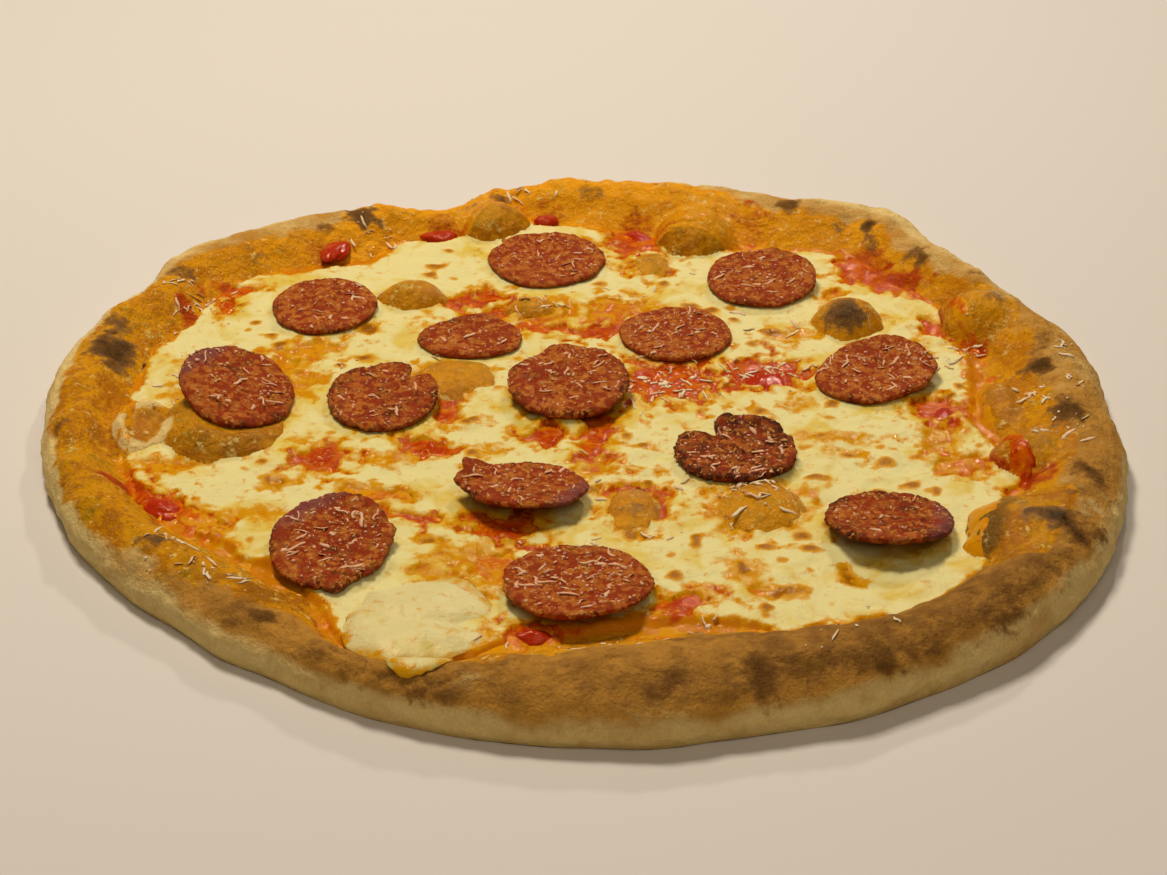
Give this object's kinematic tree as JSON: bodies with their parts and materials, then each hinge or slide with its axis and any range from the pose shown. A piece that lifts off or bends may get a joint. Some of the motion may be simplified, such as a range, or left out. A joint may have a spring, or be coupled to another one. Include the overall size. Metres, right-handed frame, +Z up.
{
  "type": "pepperoni pizza",
  "caption": "Round baked pizza with a puffed, charred crust, tomato sauce, melted mozzarella, curled pepperoni slices and grated hard cheese.",
  "frame": {"origin": "on the flat underside, at the middle of the pizza's outline", "axes": "+Z up through the pizza, -Y towards the side nearest the camera of the picture"},
  "size_m": [0.3367, 0.3198, 0.0214],
  "materials": {
    "baked_dough": "matt baked dough, browned and charred in spots",
    "tomato_sauce": "wet and glossy",
    "melted_mozzarella": "oily satin with browned spots",
    "soft_mozzarella": "moist satin",
    "pepperoni": "coarse and oily",
    "tomato": "wet and glossy"
  },
  "bodies": {
    "root": {"crust": "baked_dough", "tomato_sauce": "tomato_sauce", "mozzarella": "melted_mozzarella", "mozzarella_piece": "soft_mozzarella", "pepperoni_01": "pepperoni", "pepperoni_02": "pepperoni", "pepperoni_03": "pepperoni", "pepperoni_04": "pepperoni", "pepperoni_05": "pepperoni", "pepperoni_06": "pepperoni", "pepperoni_07": "pepperoni", "pepperoni_08": "pepperoni", "pepperoni_09": "pepperoni", "pepperoni_10": "pepperoni", "pepperoni_11": "pepperoni", "pepperoni_12": "pepperoni", "pepperoni_13": "pepperoni", "pepperoni_14": "pepperoni", "tomato_01": "tomato", "tomato_02": "tomato", "tomato_03": "tomato", "tomato_04": "tomato", "tomato_05": "tomato", "tomato_06": "tomato", "tomato_07": "tomato", "tomato_08": "tomato"}
  },
  "joints": []
}
